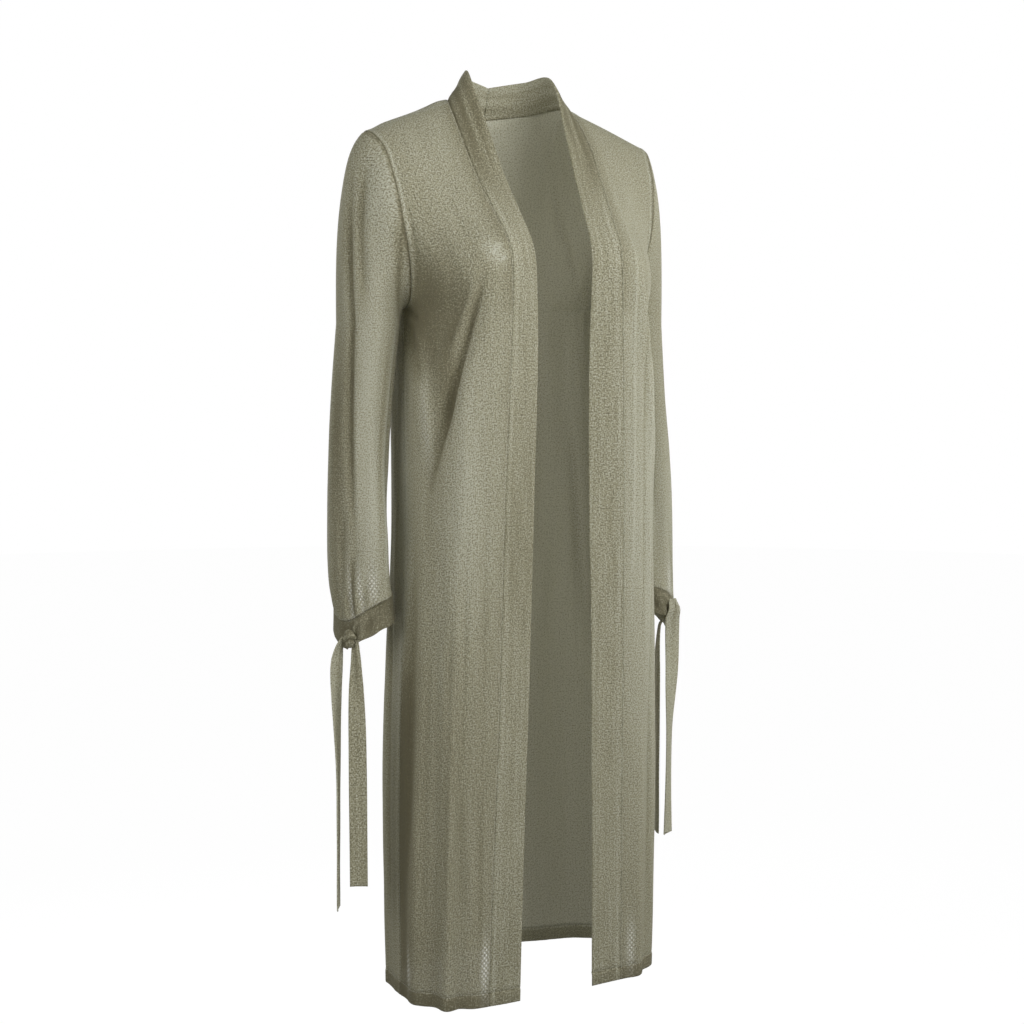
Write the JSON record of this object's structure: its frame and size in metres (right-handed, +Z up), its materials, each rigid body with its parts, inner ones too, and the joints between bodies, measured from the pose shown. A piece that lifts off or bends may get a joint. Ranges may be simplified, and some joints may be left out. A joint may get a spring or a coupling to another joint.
{
  "type": "duster cardigan",
  "caption": "Long open-front cardigan in a fine sheer knit, with a doubled front and neck band and cuffs gathered by flat ties, in its hollow worn form.",
  "frame": {"origin": "midway between the shoulders, level with the sides of the neck opening, where the wearer's shoulders hold the garment", "axes": "+Z up, -Y out of the open front, +X towards the wearer's left"},
  "size_m": [0.4757, 0.2409, 1.0756],
  "materials": {
    "knit": "fine single knit, matt and slightly sheer",
    "doubled_knit": "fine doubled knit, matt"
  },
  "bodies": {
    "root": {"back": "knit", "front_right": "knit", "front_left": "knit", "band_right": "doubled_knit", "band_left": "doubled_knit", "sleeve_right": "knit", "sleeve_left": "knit", "cuff_right": "doubled_knit", "cuff_left": "doubled_knit", "knot_right": "doubled_knit", "knot_left": "doubled_knit", "tie_right_front": "doubled_knit", "tie_right_back": "doubled_knit", "tie_left_front": "doubled_knit", "tie_left_back": "doubled_knit"}
  },
  "joints": []
}
